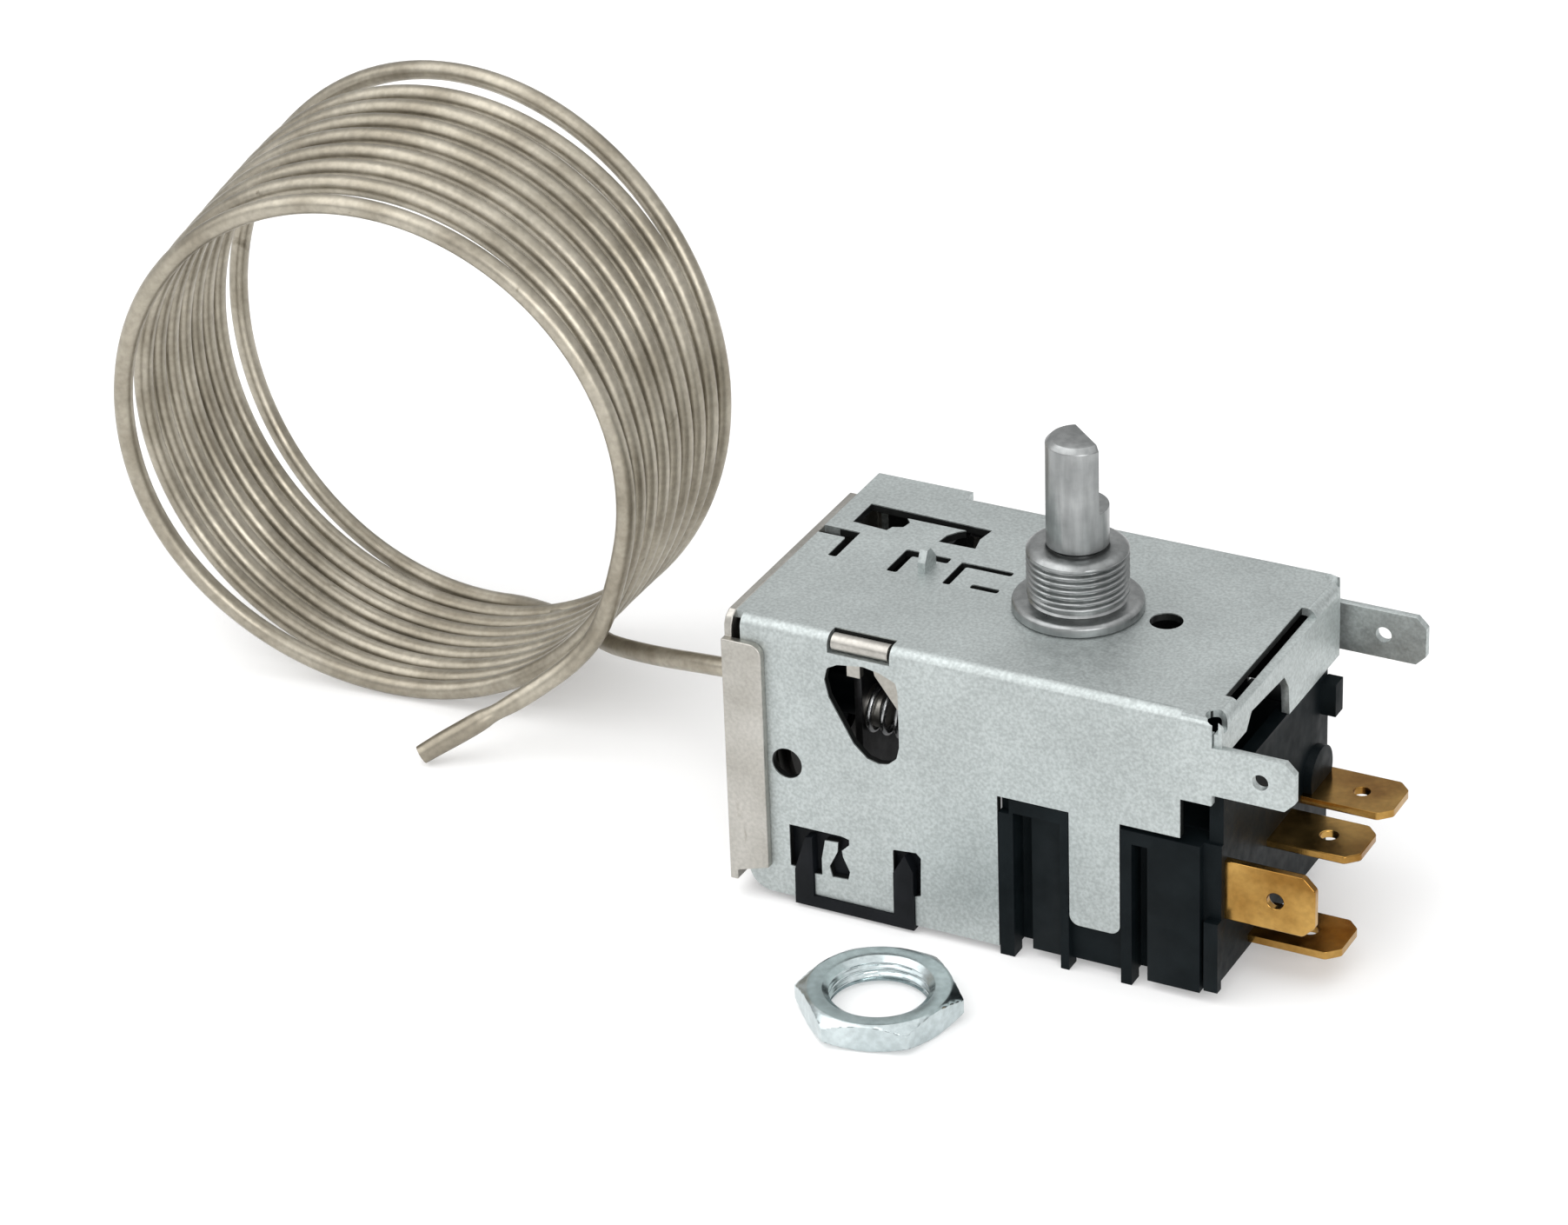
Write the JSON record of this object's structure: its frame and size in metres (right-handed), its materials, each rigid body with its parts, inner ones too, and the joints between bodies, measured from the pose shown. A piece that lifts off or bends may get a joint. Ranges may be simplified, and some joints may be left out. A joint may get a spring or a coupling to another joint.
{
  "type": "capillary thermostat",
  "caption": "Refrigeration thermostat: folded steel frame with threaded bushing and flatted spindle, black switch block with brass blades, capsule bracket and coiled capillary tube.",
  "frame": {"origin": "on the spindle axis at the bearing face of the bushing flange", "axes": "+Z along the spindle, out of the frame; +X towards the flat terminals; +Y away from the wall with the shaped window"},
  "size_m": [0.1411, 0.0664, 0.061],
  "materials": {
    "frame_steel": "satin",
    "plated_steel": "satin",
    "dark_steel": "satin",
    "tube_metal": "satin",
    "zinc_alloy": "satin",
    "spring_steel": "bright",
    "nut_zinc": "bright",
    "brass_blade": "satin",
    "contact_silver": "bright",
    "black_moulding": "matte",
    "clip_plastic": "matte"
  },
  "bodies": {
    "casing": {"housing_frame": "frame_steel", "bushing": "zinc_alloy", "range_lever_pin": "plated_steel", "hanger_front": "plated_steel", "hanger_back": "plated_steel", "main_lever_pins": "plated_steel", "capsule_bracket": "plated_steel", "capsule_outer_shell": "plated_steel", "capsule_membrane": "spring_steel", "capsule_inner_shell": "plated_steel", "switch_housing": "black_moulding", "switch_cover": "black_moulding", "terminal_back": "brass_blade", "terminal_middle": "brass_blade", "terminal_front": "brass_blade", "terminal_low": "brass_blade", "terminal_rivets": "brass_blade", "fixed_contact": "contact_silver", "insulating_clip": "clip_plastic", "mounting_nut": "nut_zinc", "capillary_ferrule": "tube_metal", "capillary_coil": "tube_metal", "capillary_lead": "tube_metal", "capillary_tail": "tube_metal"},
    "spindle": {"spindle": "zinc_alloy", "spindle_ring": "spring_steel", "range_cam": "zinc_alloy"},
    "range_lever": {"range_lever": "dark_steel"},
    "main_lever": {"main_lever": "dark_steel", "range_spring": "spring_steel", "spring_seat": "plated_steel"},
    "plunger": {"plunger": "black_moulding"},
    "button": {"switch_button": "clip_plastic"},
    "contact_arm": {"contact_blade": "brass_blade", "moving_contact": "contact_silver"},
    "adjuster": {"differential_screw": "brass_blade"}
  },
  "joints": [
    {"name": "spindle_turn", "type": "hinge", "parent": "casing", "child": "spindle", "pos_m": [0, 0, 0], "axis": [0, 0, 1], "range_deg": [0, 300]},
    {"name": "range_lever_tilt", "type": "hinge", "parent": "casing", "child": "range_lever", "pos_m": [-0.0089, 0.0012, -0.0036], "axis": [0, -1, 0], "range_deg": [0, 12.3]},
    {"name": "main_lever_tilt", "type": "hinge", "parent": "casing", "child": "main_lever", "pos_m": [-0.014, 0.00085, -0.0035], "axis": [0, -1, 0], "range_deg": [0, 2], "stiffness_Nm_per_rad": 0.05, "springref_deg": -11.46},
    {"name": "plunger_slide", "type": "slide", "parent": "casing", "child": "plunger", "axis": [1, 0, 0], "range_m": [0, 0.00045]},
    {"name": "button_slide", "type": "slide", "parent": "casing", "child": "button", "axis": [0, 0, 1], "range_m": [0, 0.0007]},
    {"name": "contact_tilt", "type": "hinge", "parent": "casing", "child": "contact_arm", "pos_m": [0.015, 0.0004, -0.0235], "axis": [0, 1, 0], "range_deg": [0, 3.7]},
    {"name": "adjuster_turn", "type": "hinge", "parent": "casing", "child": "adjuster", "pos_m": [0.0087, 0.0008, -0.0169], "axis": [0, 0, 1], "range_deg": [-180, 180]}
  ],
  "couplings": [
    {"joint": "range_lever_tilt", "follows": "spindle_turn", "ratio": 0.040208},
    {"joint": "main_lever_tilt", "follows": "plunger_slide", "rad_per_m": 77.52},
    {"joint": "button_slide", "follows": "plunger_slide", "ratio": 1.442},
    {"joint": "contact_tilt", "follows": "plunger_slide", "rad_per_m": 138.6}
  ]
}
